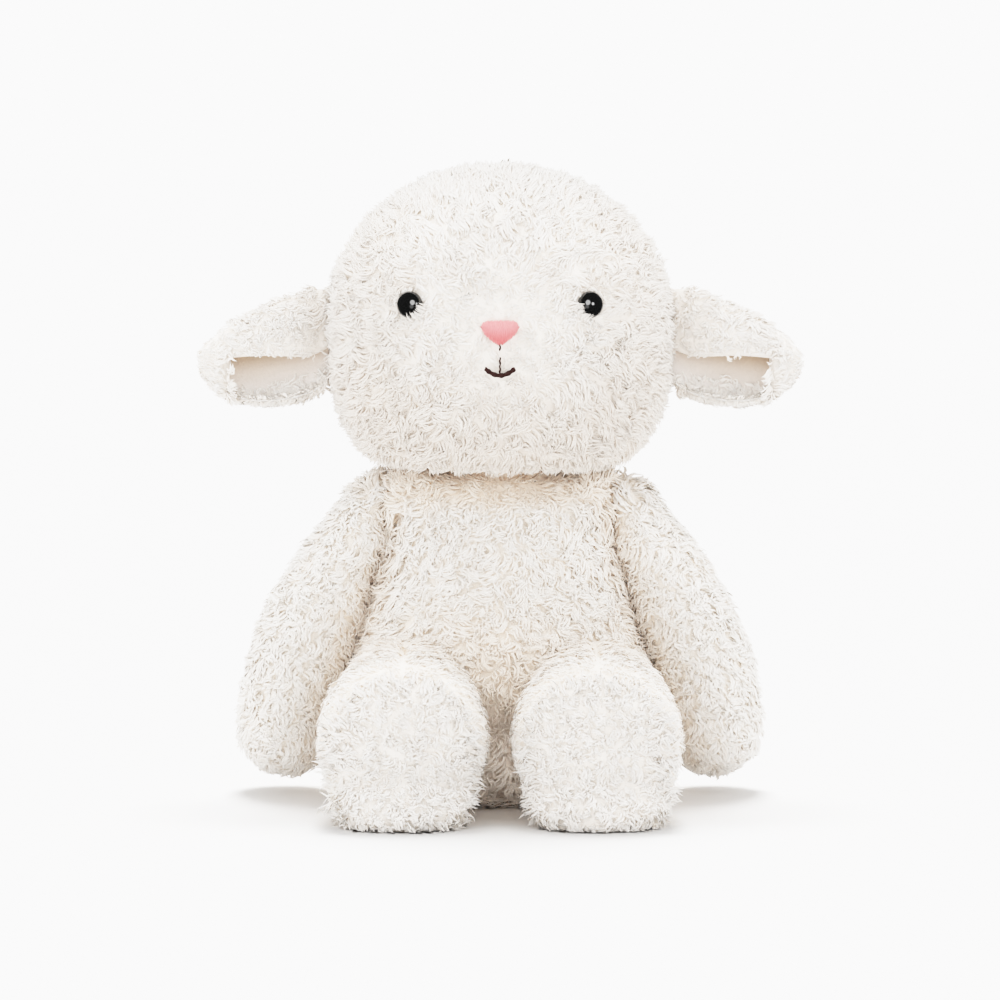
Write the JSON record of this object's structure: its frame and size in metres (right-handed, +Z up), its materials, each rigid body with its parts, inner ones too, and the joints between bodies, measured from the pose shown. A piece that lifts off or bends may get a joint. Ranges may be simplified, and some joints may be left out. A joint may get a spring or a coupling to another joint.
{
  "type": "plush sheep",
  "caption": "Seated soft toy sheep with curly pile fabric, sideways ears, rounded arms and forward legs with padded soles.",
  "frame": {"origin": "middle of the footprint's bounding box, on the surface that the sheep sits on", "axes": "+Z up through the crown, -Y out of the face, +X towards the sheep's own left arm"},
  "size_m": [0.2376, 0.1588, 0.2478],
  "materials": {
    "white_pile": "matte",
    "cream_pile": "matte",
    "lining_cloth": "matte",
    "fibrefill": "matte",
    "pellet_cloth": "matte",
    "eye_black": "gloss",
    "washer_plastic": "satin",
    "nose_thread": "satin",
    "mouth_thread": "matte"
  },
  "bodies": {
    "torso": {"body_left_cover": "cream_pile", "body_right_cover": "cream_pile", "body_stuffing": "fibrefill", "pellet_bag": "pellet_cloth", "tail": "cream_pile"},
    "neck": {"neck_cover": "cream_pile", "neck_stuffing": "fibrefill"},
    "head": {"head_left_cover": "white_pile", "head_right_cover": "white_pile", "head_gusset": "white_pile", "head_stuffing": "fibrefill", "eye_left": "eye_black", "eye_right": "eye_black", "eye_washer_left": "washer_plastic", "eye_washer_right": "washer_plastic", "nose_patch": "nose_thread", "mouth_line_stitch": "mouth_thread", "smile_stitch": "mouth_thread"},
    "ear_left": {"ear_left_outer": "white_pile", "ear_left_lining": "lining_cloth"},
    "ear_right": {"ear_right_outer": "white_pile", "ear_right_lining": "lining_cloth"},
    "arm_left": {"arm_left_cover": "cream_pile", "arm_left_stuffing": "fibrefill"},
    "arm_right": {"arm_right_cover": "cream_pile", "arm_right_stuffing": "fibrefill"},
    "leg_left": {"leg_left_cover": "cream_pile", "foot_sole_left": "white_pile", "leg_left_stuffing": "fibrefill"},
    "leg_right": {"leg_right_cover": "cream_pile", "foot_sole_right": "white_pile", "leg_right_stuffing": "fibrefill"}
  },
  "joints": [
    {"name": "head_turn", "type": "hinge", "parent": "torso", "child": "neck", "pos_m": [0, 0.02141, 0.131], "axis": [0, 0, 1], "range_deg": [-30, 30], "stiffness_Nm_per_rad": 0.6},
    {"name": "head_nod", "type": "hinge", "parent": "neck", "child": "head", "pos_m": [0, 0.02141, 0.131], "axis": [-1, 0, 0], "range_deg": [-8, 8], "stiffness_Nm_per_rad": 1.2},
    {"name": "ear_left_swing", "type": "hinge", "parent": "head", "child": "ear_left", "pos_m": [0.0698, 0.01741, 0.181], "axis": [0, 0, -1], "range_deg": [-30, 30], "stiffness_Nm_per_rad": 0.04},
    {"name": "ear_right_swing", "type": "hinge", "parent": "head", "child": "ear_right", "pos_m": [-0.0698, 0.01741, 0.181], "axis": [0, 0, 1], "range_deg": [-30, 30], "stiffness_Nm_per_rad": 0.04},
    {"name": "arm_left_swing", "type": "hinge", "parent": "torso", "child": "arm_left", "pos_m": [0.0448, 0.02141, 0.113], "axis": [-1, 0, 0], "range_deg": [-40, 95], "stiffness_Nm_per_rad": 0.15},
    {"name": "arm_right_swing", "type": "hinge", "parent": "torso", "child": "arm_right", "pos_m": [-0.0448, 0.02141, 0.113], "axis": [-1, 0, 0], "range_deg": [-40, 95], "stiffness_Nm_per_rad": 0.15},
    {"name": "leg_left_swing", "type": "hinge", "parent": "torso", "child": "leg_left", "pos_m": [0.037, 0.02141, 0.0455], "axis": [1, 0, 0], "range_deg": [-10, 85], "stiffness_Nm_per_rad": 0.4},
    {"name": "leg_right_swing", "type": "hinge", "parent": "torso", "child": "leg_right", "pos_m": [-0.037, 0.02141, 0.0455], "axis": [1, 0, 0], "range_deg": [-10, 85], "stiffness_Nm_per_rad": 0.4}
  ]
}
